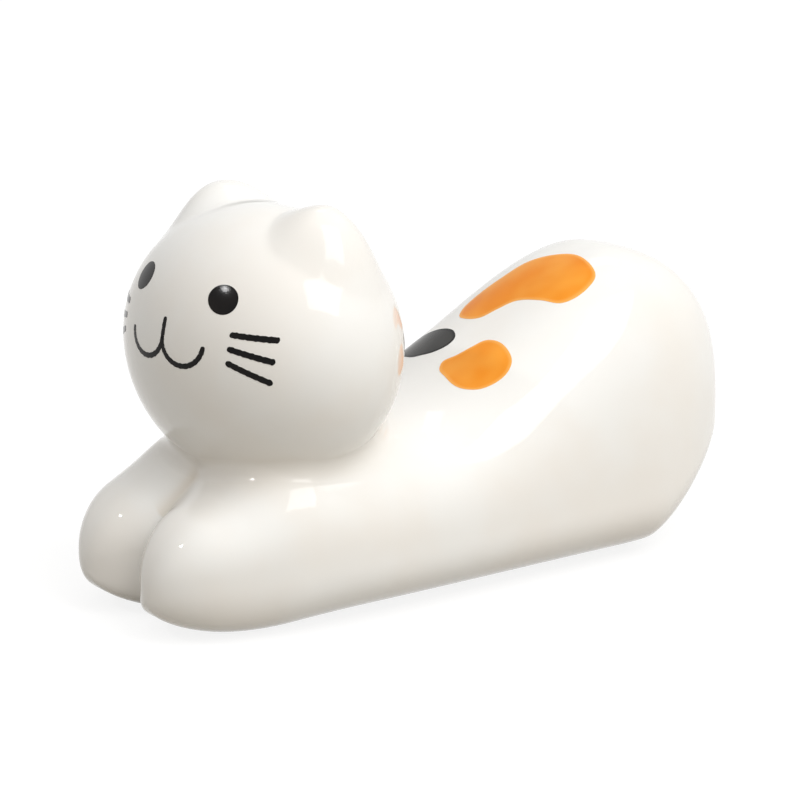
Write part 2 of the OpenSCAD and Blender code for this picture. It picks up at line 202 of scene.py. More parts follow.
# Points of the body's left or right half, as [distance from the middle, height]. t goes from the
# groove under the body (0) out round the flank to the groove over it (1)
def halfSection(x, t):
    s = {k: v[:, None] for k, v in section(x).items()}
    mostShare = 0.999  # where the legs' arches stay apart, the half ring still starts on the arch
    share = np.minimum((s["apart"] - s["fill"]) / s["half"], mostShare)
    lowE = s["downE"] + s["inE"]
    low = -np.arctan2(s["down"] * (1 - np.abs(share) ** lowE) ** (1 / lowE), -s["half"] * share)
    high = np.arctan2(s["up"] * (1 - np.abs(share) ** s["upE"]) ** (1 / s["upE"]), -s["half"] * share)
    phi = mix(low, high, t[None, :])
    r = archR(s, phi)
    out = np.sqrt(np.maximum((s["apart"] + r * np.cos(phi)) ** 2 - s["fill"] ** 2, 0))
    ends = (t == 0) | (t == 1)
    return np.where(ends & (s["apart"] - s["half"] <= s["fill"]), 0, out), s["wide"] + r * np.sin(phi)


def headSemi(q):  # the head is two half ellipsoids, one down to the chin and a flatter crown
    return join(chinSemi[0], chinSemi[1], np.where(q[..., 2] > 0, head["crown"], head["chin"]))


def ellipsoidNormal(q):  # unit gradient of the head's ellipsoid at q, in the head's own axes
    return unit(q / headSemi(q) ** 2)


# Sets the body on its flat foot: heights under 0 come up to 0 through a soft bend of the width
# footRound, and the normals turn with it
def onFoot(points, normals):
    z, w = points[..., 2], body["footRound"]
    flattest = 1e-4  # share of a normal's level part that stays on the flat foot
    near = np.clip(w - np.abs(z), 0, None)
    lifted = np.maximum(z, 0) + near ** 2 / (4 * w)
    slope = np.clip((z + w) / (2 * w), flattest, 1)
    turned = unit(join(normals[..., 0] * slope, normals[..., 1] * slope, normals[..., 2]))
    return join(points[..., 0], points[..., 1], lifted), turned


# Lowers the body's points to the head's underside, less the slip between them: the height of the
# lower root of |q + k z| = 1 for the head's lower ellipsoid grown by the slip
def underHead(points):
    grown = chinSemi + head["slip"]
    q = join(points[..., 0] - headAt[0], points[..., 1] - headAt[1], 0) @ headTurn / grown
    k = np.array([0.0, 0.0, 1.0]) @ headTurn / grown
    qk, kk = q @ k, k @ k
    d = qk ** 2 - kk * (np.sum(q * q, -1) - 1)
    seat = headAt[2] - (qk + np.sqrt(np.maximum(d, 0))) / kk
    z = np.where(d > 0, np.minimum(points[..., 2], seat), points[..., 2])
    return join(points[..., 0], points[..., 1], z)


def headDistance(p):  # from the head, to first order: (|u| - 1) |u| / |u / semi|, where u = q / semi
    q = (p - headAt) @ headTurn
    u = q / headSemi(q)
    size = np.linalg.norm(u, axis=-1)
    return (size - 1) * size / np.linalg.norm(u / headSemi(q), axis=-1)


# how fast the painted crease shade and pooled glaze fade away from the neck and the groove
poolShadeFades = {"neckFade": 1.3, "grooveWidth": 0.9, "grooveFade": 0.5, "grooveShare": 0.8}


# Darker, warmer tone in the crease under the head and in the groove, partly pooled glaze and partly painted
# shade: 1 there, 0 away from both. It fades as exp(-(way to the head + way to the body) / neckFade) and
# exp(-(y / grooveWidth)^2 - way / grooveFade)
def glazePoolAndShade(p):
    offBody = np.abs(bodyDistance(p))
    crease = np.exp(-(np.abs(headDistance(p)) + offBody) / poolShadeFades["neckFade"])
    s = section(np.clip(p[..., 0], frontX + offEnd, rearX - offEnd))
    groove = np.exp(-(p[..., 1] / poolShadeFades["grooveWidth"]) ** 2 - offBody / poolShadeFades["grooveFade"])
    groove = groove * (1 - merged(p[..., 0])) * (s["half"] > s["apart"])
    return np.clip(crease + poolShadeFades["grooveShare"] * groove, 0, 1)


def aim(turn, lift):  # direction from the head's middle; turn goes to the cat's left, both in radians
    return join(-np.cos(turn) * np.cos(lift), -np.sin(turn) * np.cos(lift), np.sin(lift))


def headR(d):  # the head's radius in the direction d: 1 / |d / semi|
    return 1 / np.linalg.norm(d / headSemi(d), axis=-1)


def outOfHead(q):  # from the head's own axes to the CAD's, in which the whole cat stands
    return q @ headTurn.T + headAt


def newMaterial(name):  # with its node tree, its shader and a function that adds nodes
    m = bpy.data.materials.new(name)
    m.use_nodes = True
    tree = m.node_tree
    shader = tree.nodes["Principled BSDF"]

    def add(kind, links=(), **settings):  # sets the node's sockets or properties and links its inputs
        node = tree.nodes.new(kind)
        for key, value in settings.items():
            if hasattr(node, key):
                setattr(node, key, value)
            else:
                node.inputs[key].default_value = value
        for socket, source in dict(links).items():
            tree.links.new(source, node.inputs[socket])
        return node

    return m, tree, shader, add


def linear(r, g, b):  # an sRGB colour of 0 to 255 as a linear one
    c = np.array([r, g, b]) / 255
    c = np.where(c <= 0.04045, c / 12.92, ((c + 0.055) / 1.055) ** 2.4)
    return (*c.tolist(), 1.0)


def mixColours(add, factor, a, b):  # a where factor is 0, b where it is 1: sockets or sRGB colours
    node = add("ShaderNodeMix", data_type="RGBA")
    tree = node.id_data
    for at, value in ((0, factor), (6, a), (7, b)):  # a Mix node's sockets for factor and two colours
        if isinstance(value, tuple):
            node.inputs[at].default_value = linear(*value)
        else:
            tree.links.new(value, node.inputs[at])
    return node.outputs[2]


def spread(add, source, low, high, toLow=0.0, toHigh=1.0):  # Map Range with soft ends
    node = add("ShaderNodeMapRange", {"Value": source}, interpolation_type="SMOOTHSTEP")
    for key, value in (("From Min", low), ("From Max", high), ("To Min", toLow), ("To Max", toHigh)):
        node.inputs[key].default_value = value
    return node.outputs[0]


def noise(add, place, scale, detail, roughness=0.5):
    node = add("ShaderNodeTexNoise", {"Vector": place}, Scale=scale, Detail=detail, Roughness=roughness)
    return node.outputs["Fac"]


glossIor = 1.52
glaze = {
    # the pool colour is the darker, warmer tone of the creases: partly pooled glaze, partly painted shade
    "colour": (237, 237, 235), "warm": (235, 232, 227), "pool": (222, 214, 202), "foot": (214, 200, 180),
    "roughness": 0.07, "footRoughness": 0.72, "mirror": 0.42,
    "footBare": 0.2, "footGlazed": 0.35, "footWave": 0.3,  # mm: wiped up to, glazed from, unevenness
    "cloudScale": 75.0, "cloudFrom": 0.35, "cloudTo": 0.7,
    "rippleSize": 2.2, "ripple": 0.012, "rippleDepth": 1.0,
    "grainScale": 5200.0, "grain": 0.6, "grainDepth": 0.2,
}


# White glaze with faint warm clouds and long ripples, darker and warmer in the crease and the groove, which
# is partly pooled glaze and partly painted shade. The foot under it is wiped down to matt clay with a fine
# grain
def porcelain(g):
    m, tree, shader, add = newMaterial("porcelainGlaze")
    place = add("ShaderNodeTexCoord").outputs["Object"]
    cloud = noise(add, place, g["cloudScale"], detail=3.0)
    ripple = noise(add, place, 1 / (g["rippleSize"] * mm), detail=2.0)
    grain = noise(add, place, g["grainScale"], detail=4.0, roughness=0.7)
    pool = add("ShaderNodeAttribute", attribute_name="pool").outputs["Fac"]
    height = add("ShaderNodeSeparateXYZ", {"Vector": place}).outputs["Z"]
    edge = add("ShaderNodeMath", {0: ripple, 2: height}, operation="MULTIPLY_ADD")
    edge.inputs[1].default_value = -g["footWave"] * mm
    foot = spread(add, edge.outputs[0], g["footBare"] * mm, g["footGlazed"] * mm, 1, 0)
    colour = mixColours(add, spread(add, cloud, g["cloudFrom"], g["cloudTo"]), g["colour"], g["warm"])
    # painted shade together with pooled glaze: the darker, warmer tone in the crease and the groove
    colour = mixColours(add, pool, colour, g["pool"])
    colour = mixColours(add, foot, colour, g["foot"])
    tree.links.new(colour, shader.inputs["Base Color"])
    tree.links.new(spread(add, foot, 0, 1, g["roughness"], g["footRoughness"]), shader.inputs["Roughness"])
    soft = add("ShaderNodeBump", {"Height": ripple}, Strength=g["ripple"], Distance=g["rippleDepth"] * mm)
    rough = add("ShaderNodeMath", {0: grain, 1: foot}, operation="MULTIPLY")
    both = add("ShaderNodeBump", {"Height": rough.outputs[0], "Normal": soft.outputs[0]},
               Strength=g["grain"], Distance=g["grainDepth"] * mm)
    tree.links.new(both.outputs[0], shader.inputs["Normal"])
    shader.inputs["IOR"].default_value = glossIor
    shader.inputs["Specular IOR Level"].default_value = g["mirror"]
    return m


# What all transfers share: the shares of the noise at which the colour drifts and where specks lie,
# and the fine dots of the print
dotted = {
    "driftFrom": 0.36, "driftTo": 0.64, "speckFrom": 0.62, "speckTo": 0.78, "dotScale": 6500.0,
    "dullFrom": 0.3, "dullTo": 0.7, "duller": 0.05, "relief": 0.02, "reliefDepth": 0.1,
}


# A fired transfer under the same gloss: the middle's colour drifts between two tones, and a band
# along the rim, whose distance is the attribute rim in mm, has a third
def printed(name, p):
    m, tree, shader, add = newMaterial(name)
    d = dotted
    place = add("ShaderNodeTexCoord").outputs["Object"]
    cloud = noise(add, place, 1 / (p["cloudSize"] * mm), detail=2.0)
    dots = noise(add, place, d["dotScale"], detail=3.0, roughness=0.6)
    rim = add("ShaderNodeAttribute", attribute_name="rim").outputs["Fac"]
    ragged = add("ShaderNodeMath", {0: dots, 2: rim}, operation="MULTIPLY_ADD")
    ragged.inputs[1].default_value = p["ragged"]
    colour = mixColours(add, spread(add, cloud, d["driftFrom"], d["driftTo"]), p["colour"], p["drift"])
    edge = spread(add, ragged.outputs[0], p["rimFrom"], p["rimTo"], 1, 0)
    colour = mixColours(add, edge, colour, p["rim"])
    speck = spread(add, dots, d["speckFrom"], d["speckTo"], 0, p["speck"])
    colour = mixColours(add, speck, colour, p["speckColour"])
    tree.links.new(colour, shader.inputs["Base Color"])
    dull = spread(add, dots, d["dullFrom"], d["dullTo"], p["roughness"], p["roughness"] + d["duller"])
    tree.links.new(dull, shader.inputs["Roughness"])
    bump = add("ShaderNodeBump", {"Height": dots}, Strength=d["relief"], Distance=d["reliefDepth"] * mm)
    tree.links.new(bump.outputs[0], shader.inputs["Normal"])
    shader.inputs["IOR"].default_value = glossIor
    shader.inputs["Specular IOR Level"].default_value = p["mirror"]
    return m


orangePrint = {
    "colour": (233, 135, 8), "drift": (241, 157, 50), "rim": (243, 174, 88), "rimFrom": 0.02, "rimTo": 0.5,
    "ragged": 0.12, "cloudSize": 7.0, "speck": 0.12, "speckColour": (242, 172, 84), "roughness": 0.09,
    "mirror": 0.14,
}
blackPrint = {
    "colour": (48, 48, 47), "drift": (61, 60, 58), "rim": (20, 20, 21), "rimFrom": 0.1, "rimTo": 0.4,
    "ragged": 0.06, "cloudSize": 5.0, "speck": 0.15, "speckColour": (88, 87, 85), "roughness": 0.1,
    "mirror": 0.12,
}
inkPrint = {
    "colour": (15, 14, 14), "drift": (24, 21, 20), "rim": (40, 32, 28), "rimFrom": 0.0, "rimTo": 0.07,
    "ragged": 0.03, "cloudSize": 3.0, "speck": 0.2, "speckColour": (52, 46, 44), "roughness": 0.09,
    "mirror": 0.11,
}
glazeMat = porcelain(glaze)
orangeMat = printed("orangeTransfer", orangePrint)
blackMat = printed("softBlackTransfer", blackPrint)
inkMat = printed("blackTransfer", inkPrint)
print("materials ready")


# Rings of the body at the places x along it. Both sides make a whole ring, one side makes a half that
# is closed by the flat face along the middle
def bodyRings(x, t, sides):
    out, z = halfSection(x, t)
    if len(sides) == 2:
        out, z = np.concatenate([-out, out[:, -2:0:-1]], 1), np.concatenate([z, z[:, -2:0:-1]], 1)
    else:
        out = sides[0] * out
    raw = join(x[:, None], out, z)
    placed, normals = onFoot(raw, bodyNormal(raw))
    return underHead(placed), normals, glazePoolAndShade(raw)


# A part of the body between two ends. An end given as None is flat, with its middle at the ring's own
def bodyPiece(name, x, t, sides, ends, endNormals, flat):
    rings, normals, pool = bodyRings(x, t, sides)
    ends = [rings[-k].mean(0) if e is None else e for k, e in enumerate(ends)]
    shape = skin(rings, normals, np.array(ends), np.array(endNormals, float), flat)
    values = {"pool": np.concatenate([pool.ravel(), glazePoolAndShade(np.array(ends))])}
    makePiece(name, *shape, glazeMat, whiteGlaze, [name], values)


halfRing = np.linspace(0, 1, body["halfRing"])
jointX = frontX + body["jointReach"]
toeLength = max(body["toeTop"], body["toeSide"], body["toeSole"])
toeEnd, rearStart = frontX + toeLength, rearX - body["rearSide"]
quarter = np.linspace(0, 1, body["toeRings"])[1:] * np.pi / 2  # rings lie closer towards a rounded end
legX = np.concatenate([toeEnd - toeLength * np.cos(quarter),
                       np.linspace(toeEnd, jointX, body["legRings"])[1:]])
trunkX = np.concatenate([np.linspace(jointX, rearStart, body["trunkRings"]),
                         rearStart + body["rearSide"] * np.sin(quarter[:-1:2])])
forward, backward = [-1, 0, 0], [1, 0, 0]
bodyPiece("torso", trunkX, halfRing, (-1, 1), [None, [rearX, 0, body["rearHeight"]]],
          [forward, backward], (True, False))
tipY = np.sqrt((body["pawApart"] / 2) ** 2 - body["grooveFill"] ** 2)
for side, name in ((-1, "foreleg_left"), (1, "foreleg_right")):
    tip = [frontX, side * tipY, body["toeHeight"]]
    bodyPiece(name, legX, halfRing, (side,), [tip, None], [forward, backward], (False, True))
print("body ready")


ear = {
    "stand": 2.66, "thick": 9.06, "toCrown": 6.16, "toCheek": 12.6, "e": 4, "turn": 100.0, "lift": 59.0,
    "roll": -9.35,  # how far its lower end is turned to the back, seen from the ear's tip
    "sink": 0.02,   # how deep its rim lies in the head
    "blend": 0.35,  # height up to which its light and shade run over into the head's
    "under": 0.6, "gather": 30.0,  # depth of its underside in the head, and how its inner ring draws in
    "slopeStep": 0.01, "rows": 90, "around": 180,
}
neck = {
    "radius": 1.6, "sunk": 0.25,  # depth of its hidden rim behind the crease
    "lowest": -82.0, "highest": -4.0, "halvings": 24,  # degrees between which it touches the head
    "around": 360, "across": 20,
}


def headPiece():  # two half ellipsoids by longitude and latitude
    lift = np.linspace(-np.pi / 2, np.pi / 2, head["rows"] + 1)[1:-1]
    turn = np.linspace(0, 2 * np.pi, head["around"], endpoint=False)
    d = aim(turn[None, :], lift[:, None])
    poles = np.array([[0, 0, -head["chin"]], [0, 0, head["crown"]]])
    q = unit(d / headSemi(d)) * headSemi(d)
    every = np.concatenate([q.reshape(-1, 3), poles])
    normals = ellipsoidNormal(every) @ headTurn.T
    shape = skin(outOfHead(q), normals[:-2].reshape(q.shape), outOfHead(poles), normals[-2:])
    pool = glazePoolAndShade(outOfHead(every))
    makePiece("head", *shape, glazeMat, whiteGlaze, ["head"], {"pool": pool})


# An ear is the mound stand (1 - q^2)^e over the head, where q goes from 0 at its middle to 1 at its rim.
# Its places p are [through the ear, along it to the crown] in mm over the head, from the ear's middle,
# and place(p) gives the point and the mound's height there. Two rings close it inside the head
def earPiece(name, side):
    axis = aim(radians(side * ear["turn"]), radians(ear["lift"]))
    u = unit(np.array([-axis[1], axis[0], 0]))
    roll = radians(-side * ear["roll"])
    v = np.cross(axis, u)
    u, v = u * np.cos(roll) + v * np.sin(roll), v * np.cos(roll) - u * np.sin(roll)

    def place(p):
        far = np.where(p[..., 1] > 0, ear["toCrown"], ear["toCheek"])
        q2 = (p[..., 0] / ear["thick"]) ** 2 + (p[..., 1] / far) ** 2
        mound = ear["stand"] * np.clip(1 - q2, 0, 1) ** ear["e"]
        angle = np.linalg.norm(p, axis=-1, keepdims=True) / faceR
        along = (p[..., :1] * u + p[..., 1:] * v) / faceR
        d = axis * np.cos(angle) + along * np.sinc(angle / np.pi)
        return d * (headR(d) + mound - ear["sink"])[..., None], mound

    a = np.linspace(0, 2 * np.pi, ear["around"], endpoint=False)
    q = np.linspace(1, 0, ear["rows"], endpoint=False)
    far = np.where(np.sin(a) > 0, ear["toCrown"], ear["toCheek"])
    spot = q[:, None, None] * join(ear["thick"] * np.cos(a), far * np.sin(a))[None]
    top, mound = place(spot)
    through, up = (place(spot + e)[0] - place(spot - e)[0] for e in np.eye(2) * ear["slopeStep"])
    own = unit(np.cross(through, up))
    normals = unit(mix(ellipsoidNormal(top), own, ease(mound / ear["blend"])[..., None]))
    inside = unit(top[0][None] + axis * np.array([ear["gather"], 0])[:, None, None])
    low = inside * (headR(inside)[..., None] - ear["under"])
    rings = outOfHead(np.concatenate([low, top]))
    every = np.concatenate([-inside, normals]) @ headTurn.T
    ends = outOfHead(np.array([axis * (headR(axis) - ear["under"]), place(np.zeros(2))[0]]))
    shape = skin(rings, every, ends, np.array([-axis, axis]) @ headTurn.T)
    makePiece(name, *shape, glazeMat, whiteGlaze, [name], {"pool": np.zeros(len(shape[0]))})


# The body's surface point nearest to each point c: steps along the gradient onto the surface, and
# along the surface until the way to c is square to it
def nearestOnBody(c, rounds=14, pace=0.8):
    def ontoBody(p):
        g = slopeOf(bodyDistance, p)
        return p - unit(g) * (bodyDistance(p) / np.linalg.norm(g, axis=-1))[:, None], unit(g)

    p = c.copy()
    for _ in range(rounds):
        p, n = ontoBody(p)
        off = c - p
        p = p + pace * (off - n * np.sum(off * n, -1, keepdims=True))
    return ontoBody(p)


# Glaze in the crease between head and body: the concave track of a ball of the given radius that rolls
# round the head and touches both. How low its centre stands on each side comes by halving a range
def neckPiece():
    r = neck["radius"]
    turn = np.linspace(0, 2 * np.pi, neck["around"], endpoint=False)

    def centre(lift):
        d = aim(turn, lift)
        q = unit(d / headSemi(d)) * headSemi(d)
        n = ellipsoidNormal(q)
        return outOfHead(q + r * n), n @ headTurn.T

    low, high = np.full(len(turn), radians(neck["lowest"])), np.full(len(turn), radians(neck["highest"]))
    for _ in range(neck["halvings"]):
        mid = (low + high) / 2
        c, n = centre(mid)
        foot, footN = nearestOnBody(c)
        far = np.sum((c - foot) * footN, -1) > r
        high, low = np.where(far, mid, high), np.where(far, low, mid)
    c, n = centre((low + high) / 2)
    foot, footN = nearestOnBody(c)
    a, b = -n, unit(foot - c)
    angle = np.arccos(np.clip(np.sum(a * b, -1), -1, 1))[:, None, None]
    s = np.linspace(0, 1, neck["across"] + 1)[None, :, None]
    arc = (a[:, None] * np.sin((1 - s) * angle) + b[:, None] * np.sin(s * angle)) / np.sin(angle)
    inward = unit(a + b)
    inner = c + inward * (r / np.cos(angle[:, 0] / 2) + neck["sunk"])
    rings = np.concatenate([c[:, None] + r * arc, inner[:, None]], 1)
    normals = np.concatenate([-arc, inward[:, None]], 1)
    m, n = rings.shape[:2]
    at = np.arange(m * n).reshape(m, n)
    following = np.roll(at, -1, 0)
    quads = np.stack([at, following, np.roll(following, -1, 1), np.roll(at, -1, 1)], -1).reshape(-1, 4)
    points = rings.reshape(-1, 3)
    makePiece("neck_glaze", points, [quads], [normals.reshape(-1, 3)[quads]], glazeMat, whiteGlaze,
              values={"pool": glazePoolAndShade(points)})


headPiece()
earPiece("ear_left", 1)
earPiece("ear_right", -1)
neckPiece()
print("head ready")


# A place of the face, [to the cat's left, up] in mm over the head's middle, lifted off the head
def onHead(p, lift):
    el = p[..., 1] / faceR
    d = aim(p[..., 0] / faceR / np.cos(el), el)
    q = d * headR(d)[..., None]
    n = ellipsoidNormal(q)
    return outOfHead(q + n * lift), n @ headTurn.T


# A place of the back, [from the paw tips, to the cat's left of the spine], lifted off the body
def onBody(p, lift):
    x, phi = frontX + p[..., 0], np.pi / 2 - p[..., 1] / backR
    s = section(x)
    r = archR(s, phi)
    q = join(x, -r * np.cos(phi), s["wide"] + r * np.sin(phi))
    n = bodyNormal(q)
    return q + n * lift, n


transfer = {"proud": 0.022, "deep": 0.05, "batches": 40}  # ways to the rim are measured in batches


# A thin print along a line of places with the half width given for each: the line's normal times the
# half width times -1..1. It stands a hair proud, and its underside lies in the glaze. Each point's
# way to the outline goes with it as rim
def transferShape(place, line, half, across):
    along = unit(np.gradient(line, axis=0))
    sideways = join(-along[:, 1], along[:, 0])
    s = np.linspace(-1, 1, across + 1)
    spots = line[1:-1, None] + sideways[1:-1, None] * (half[1:-1, None] * s)[..., None]
    outline = np.concatenate([spots[:, 0], line[-1:], spots[::-1, -1], line[:1]])
    flat = spots.reshape(-1, 2)
    rim = np.concatenate([np.linalg.norm(row[:, None] - outline[None], axis=-1).min(1)
                          for row in np.array_split(flat, transfer["batches"])]).reshape(spots.shape[:2])
    top, topN = place(spots, transfer["proud"])
    low, lowN = place(spots, -transfer["deep"])
    rings = np.concatenate([low, top[:, ::-1]], 1)
    normals = np.concatenate([-lowN, topN[:, ::-1]], 1)
    ends, endN = place(line[[0, -1]], 0.0)
    rims = np.concatenate([np.concatenate([rim, rim[:, ::-1]], 1).ravel(), [0, 0]])
    return skin(rings, normals, ends, endN), rims


# One piece of one or more strokes, each a line with its half widths
def addPrint(name, place, strokes, across, material, slotName):
    points, faces, corners, rims, start = [], [], [], [], 0
    for line, half in strokes:
        (p, f, n), rim = transferShape(place, line, half, across)
        points.append(p)
        faces += [g + start for g in f]
        corners += n
        rims.append(rim)
        start += len(p)
    makePiece(name, np.concatenate(points), faces, corners, material, slotName, [name],
              {"rim": np.concatenate(rims)})


def steps(n):  # 0 to 1, closer together at both ends
    return (1 - np.cos(np.pi * np.arange(n + 1) / n)) / 2


face = {
    "off": -0.2,  # how far the whole face is printed to the cat's left
    "eyeSide": 6.65, "eyeUp": 7.4, "eyeLength": 3.85, "eyeWidth": 2.7, "eyeSlope": 34.0,
    "noseUp": 4.75, "mouthUp": 2.5, "mouthWidth": 5.9, "mouthDrop": 2.5, "mouthTuck": 8.0,
    "whiskerLeft": 8.65, "whiskerRight": 9.1, "whiskerUp": 3.95, "whiskerLength": 4.95, "whiskerPitch": 1.38,
    "whiskerSlope": 6.0, "whiskerFan": 7.4,
    "line": 0.58, "shake": 0.02,  # a drawn line's width and its unevenness
    "longWave": 9, "shortWave": 15, "shortShare": 0.6,  # waves of that unevenness, radians per mm
    "noseStroke": 2.2, "mouthStroke": 8.9,  # lengths that these waves and the round ends are worked out for
    "eyeSteps": 56, "noseSteps": 40, "mouthSteps": 130, "whiskerSteps": 80, "eyeAcross": 24, "across": 6,
}


def facePrint(name, strokes, across=face["across"]):
    shifted = [(line + [face["off"], 0], half) for line, half in strokes]
    addPrint(name, onHead, shifted, across, inkMat, blackInk)


# Half width of a drawn line of the given length: small waves along it, and round ends
def penWidth(u, length, phase):
    half = face["line"] / 2
    long = np.sin(u * length * face["longWave"] + phase)
    short = np.sin(u * length * face["shortWave"] + 2 * phase)
    waves = face["shake"] * (long + face["shortShare"] * short)
    fromEnd = np.clip(np.minimum(u, 1 - u) * length / half, 0, 1)
    return (half + waves) * np.sqrt(1 - (1 - fromEnd) ** 2)


# An eye is an ellipse: at u along it, its half width is eyeWidth / 2 * sqrt(1 - (2u - 1)^2)
for side, name in ((1, "eye_left"), (-1, "eye_right")):
    u = steps(face["eyeSteps"])
    slope, along = radians(face["eyeSlope"]), face["eyeLength"] * (u - 0.5)
    line = join(side * (face["eyeSide"] + along * np.cos(slope)), face["eyeUp"] - along * np.sin(slope))
    half = face["eyeWidth"] / 2 * np.sqrt(np.clip(1 - (2 * u - 1) ** 2, 0, 1))
    facePrint(name, [(line, half)], face["eyeAcross"])

# The nose line goes straight down to the mouth, whose two curves are half ellipses from under it
u = steps(face["noseSteps"])
line = join(0 * u, mix(face["noseUp"], face["mouthUp"] - face["line"] / 2, u))
strokes = [(line, penWidth(u, face["noseStroke"], 1.0))]
u = steps(face["mouthSteps"])
a = mix(-radians(face["mouthTuck"]), np.pi, u)
for side in (-1, 1):
    out = side * face["mouthWidth"] / 2 * (1 - np.cos(a))
    line = join(out, face["mouthUp"] - face["mouthDrop"] * np.sin(a))
    strokes.append((line, penWidth(u, face["mouthStroke"], 2.0 + side)))
facePrint("mouth_line", strokes)

u = steps(face["whiskerSteps"])
for side, cheek in ((1, "left"), (-1, "right")):
    for row, level in enumerate(("upper", "middle", "lower")):
        slope = radians(face["whiskerSlope"] + row * face["whiskerFan"])
        start = np.array([face["whiskerLeft"] if side > 0 else face["whiskerRight"],
                          face["whiskerUp"] - row * face["whiskerPitch"]])
        line = start + u[:, None] * face["whiskerLength"] * np.array([np.cos(slope), -np.sin(slope)])
        half = penWidth(u, face["whiskerLength"], row + 2.0 * side)
        facePrint(f"whisker_{cheek}_{level}", [(line * [side, 1], half)])

# Each patch is a smooth closed line through places on the back, round the place "middle": [from the
# paw tips, to the cat's left]. Its rings are the outline drawn in towards the middle
patchRings = {"under": 14, "over": 40, "underLeast": 0.08, "overLeast": 0.05, "crowd": 1.3, "between": 12}
patches = {
    "orange_patch_rump": {"middle": (49.5, -0.3), "outline": (
        (43.6, -3.9), (44.9, -4.45), (46.7, -4.1), (48.9, -3.25), (51.1, -2.45), (52.8, -1.05),
        (53.85, 0.4), (53.7, 2.0), (53.0, 3.4), (51.6, 4.0), (49.8, 4.2), (48.4, 3.8), (47.6, 2.4),
        (46.6, 0.6), (45.2, -0.35), (43.9, -1.2), (43.4, -2.5))},
    "orange_patch_side": {"middle": (39.5, 3.6), "outline": (
        (37.4, 0.55), (38.4, -0.3), (39.5, 0.45), (40.8, 1.1), (41.9, 1.75), (42.35, 3.0), (42.25, 4.5),
        (41.7, 6.0), (40.5, 6.95), (39.0, 7.25), (37.6, 6.9), (36.75, 5.7), (36.6, 4.2), (36.95, 2.3))},
    "black_patch": {"middle": (40.0, -5.5), "outline": (
        (38.25, -7.3), (38.0, -5.4), (38.45, -4.0), (39.1, -2.8), (40.1, -1.95), (41.1, -1.9), (41.8, -2.8),
        (42.0, -4.0), (41.9, -5.5), (41.6, -7.2), (40.9, -8.8), (39.8, -9.4), (38.8, -8.7))},
}


# A smooth closed line, n points between neighbouring places a and b: a cubic that leaves a with half
# the way from before a to b, and comes to b with half the way from a to after b
def closedLine(places, n):
    p = np.array(places, float)
    t = (np.arange(n) / n)[None, :, None]
    before, a, b, after = (np.roll(p, k, 0)[:, None] for k in (1, 0, -1, -2))
    bend = 2 * a + (b - before) * t + (2 * before - 5 * a + 4 * b - after) * t ** 2
    return ((bend + (3 * a - before - 3 * b + after) * t ** 3) / 2).reshape(-1, 2)


for name, p in patches.items():
    middle, outline = np.array(p["middle"]), closedLine(p["outline"], patchRings["between"])
    inward = (1 - patchRings["overLeast"]) * np.linspace(0, 1, patchRings["over"]) ** patchRings["crowd"]
    share = np.concatenate([np.linspace(patchRings["underLeast"], 1, patchRings["under"]), 1 - inward])
    spots = middle + share[:, None, None] * (outline - middle)
    rim = [np.linalg.norm(row[:, None] - outline[None], axis=-1).min(1) for row in spots]
    low, lowN = onBody(spots[:patchRings["under"]], -transfer["deep"])
    top, topN = onBody(spots[patchRings["under"]:], transfer["proud"])
    lifts = np.array([[-transfer["deep"]], [transfer["proud"]]])
    ends, endN = onBody(middle[None] * np.ones((2, 1)), lifts)
    shape = skin(np.concatenate([low, top]), np.concatenate([-lowN, topN]), ends, endN * [[-1], [1]])
    material, ink = (blackMat, softBlackInk) if name == "black_patch" else (orangeMat, orangeInk)
    far = np.linalg.norm(outline - middle, axis=-1).min()
    values = {"rim": np.concatenate([*rim, [far, far]])}
    makePiece(name, *shape, material, ink, [name], values)
print("prints ready")


# Soft light that grows towards one side each. Angles are in degrees, and lengths from here on in metres
glows = {
    "front": {"azimuth": 10.0, "elevation": 19.0, "strength": 1.3},
    "sky": {"azimuth": 20.0, "elevation": 80.0, "strength": 0.85},
}
studio = {
    "floorSize": 6.0, "floorShade": (0.36, 0.33, 0.28),  # what the floor gives back to the object
    "floorWhite": 0.85, "floorLit": 0.2,  # seen floor: plain white part, and part that takes the shadow
    "ambient": 0.12, "ambientTint": (252, 250, 247),
    "lampAim": 0.015,  # height that the lamps turn round
}
lamps = {
    "mainBox": {"azimuth": 20.0, "elevation": 56.0, "distance": 0.8, "width": 0.42, "height": 0.5,
                "roll": -35.0, "radiance": 3.0},
    "leftSpot": {"azimuth": -102.5, "elevation": 42.5, "distance": 0.53, "width": 0.036, "height": 0.024,
                 "roll": 0.0, "radiance": 110.0},
    "backBox": {"azimuth": 140.0, "elevation": 52.0, "distance": 0.8, "width": 0.22, "height": 0.16,
                "roll": 0.0, "radiance": 1.5},
}


def direction(azimuth, elevation):
    a, e = radians(azimuth), radians(elevation)
    return Vector((np.sin(a) * np.cos(e), -np.cos(a) * np.cos(e), np.sin(e)))


# Puts into the socket 1 for the camera, glossy and transmission rays, which show the plain white
# backdrop, and 0 for others
def seenOrNot(tree, socket):
    path = tree.nodes.new("ShaderNodeLightPath")
    most = path.outputs["Is Camera Ray"]
    for ray in ("Is Glossy Ray", "Is Transmission Ray"):
        bigger = tree.nodes.new("ShaderNodeMath")
        bigger.operation = "MAXIMUM"
        tree.links.new(most, bigger.inputs[0])
        tree.links.new(path.outputs[ray], bigger.inputs[1])
        most = bigger.outputs[0]
    tree.links.new(most, socket)


